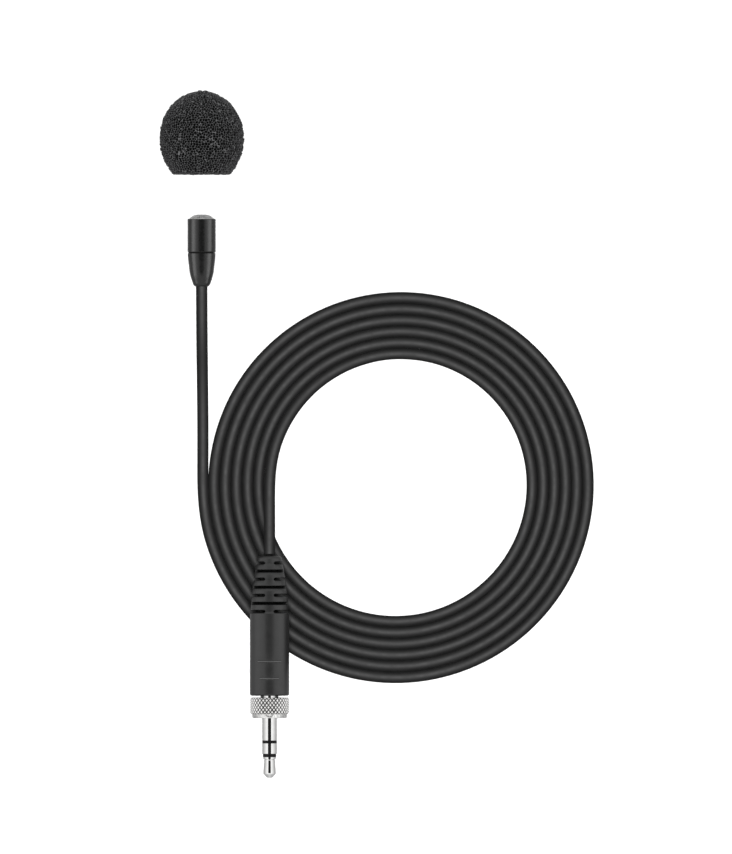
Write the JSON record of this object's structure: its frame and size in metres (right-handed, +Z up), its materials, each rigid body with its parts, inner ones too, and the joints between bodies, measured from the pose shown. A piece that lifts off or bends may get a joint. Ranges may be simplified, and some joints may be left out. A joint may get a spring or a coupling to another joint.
{
  "type": "lavalier microphone",
  "caption": "Small lapel microphone head with a mesh dome, a pull-off foam windscreen, a thin cord in a flat coil, and a jack plug with a knurled locking nut.",
  "frame": {"origin": "on the surface that the object lies on, under the middle of the head and its windscreen taken together", "axes": "+Z up; +Y along the head's axis, from its cord exit towards its dome and the windscreen; +X towards the coil"},
  "size_m": [0.104, 0.1647, 0.0201],
  "materials": {
    "foam": "open-cell polyurethane foam, matte",
    "black_anodised": "fine satin black anodising",
    "steel_mesh": "woven wire, matte grey",
    "felt": "thin felt",
    "seal_rubber": "matte",
    "can_aluminium": "drawn sheet",
    "brass": "turned",
    "film": "metallised film",
    "white_insulator": "moulded",
    "board": "solder mask",
    "chip_black": "moulded",
    "chip_ceramic": "ceramic",
    "wire_red": "insulated wire",
    "wire_white": "insulated wire",
    "wire_copper": "bare twisted strands",
    "solder": "tin",
    "cord_jacket": "satin",
    "overmould": "fine matte moulding",
    "shell_plastic": "moulded",
    "jack_nickel": "polished nickel",
    "nut_nickel": "bright nickel, diamond knurl",
    "jack_insulator": "moulded",
    "lug_tin": "tinned strip",
    "retainer_plastic": "moulded",
    "spring_steel": "thin washer"
  },
  "bodies": {
    "microphone": {"head_barrel": "black_anodised", "tail_cone": "black_anodised", "seam_seal": "seal_rubber", "grille_mesh": "steel_mesh", "acoustic_felt": "felt", "capsule_can": "can_aluminium", "diaphragm_ring": "brass", "diaphragm": "film", "spacer_ring": "white_insulator", "back_electrode": "brass", "insulator_cup": "white_insulator", "gate_contact_ring": "brass", "capsule_board": "board", "fet_transistor": "chip_black", "chip_capacitors": "chip_ceramic", "capsule_gasket": "seal_rubber", "retaining_sleeve": "can_aluminium", "cable_crimp": "brass", "head_signal_wire": "wire_red", "head_bias_wire": "wire_white", "head_shield_pigtail": "wire_copper", "head_solder": "solder", "cord_head_end": "cord_jacket", "cord_lead": "cord_jacket", "cord_coil": "cord_jacket", "cord_tail": "cord_jacket", "cord_plug_end": "cord_jacket", "plug_overmould": "overmould", "terminal_shell": "shell_plastic", "jack_sleeve": "jack_nickel", "insulator_rear": "jack_insulator", "jack_ring": "jack_nickel", "insulator_front": "jack_insulator", "jack_tip": "jack_nickel", "ring_lug": "lug_tin", "tip_lug": "lug_tin", "sleeve_lug": "lug_tin", "plug_signal_wire": "wire_red", "plug_bias_wire": "wire_white", "plug_shield_pigtail": "wire_copper", "plug_solder": "solder", "nut_retainer": "retainer_plastic", "friction_washer": "spring_steel"},
    "windscreen": {"foam_windscreen": "foam"},
    "lock_nut": {"lock_nut": "nut_nickel"}
  },
  "joints": [
    {"name": "windscreen_slide", "type": "slide", "parent": "microphone", "child": "windscreen", "axis": [0, 1, 0], "range_m": [-0.0216, 0]},
    {"name": "lock_nut_spin", "type": "hinge", "parent": "microphone", "child": "lock_nut", "pos_m": [0.01625, -0.1215, 0.00734], "axis": [0, -1, 0], "continuous": true}
  ]
}
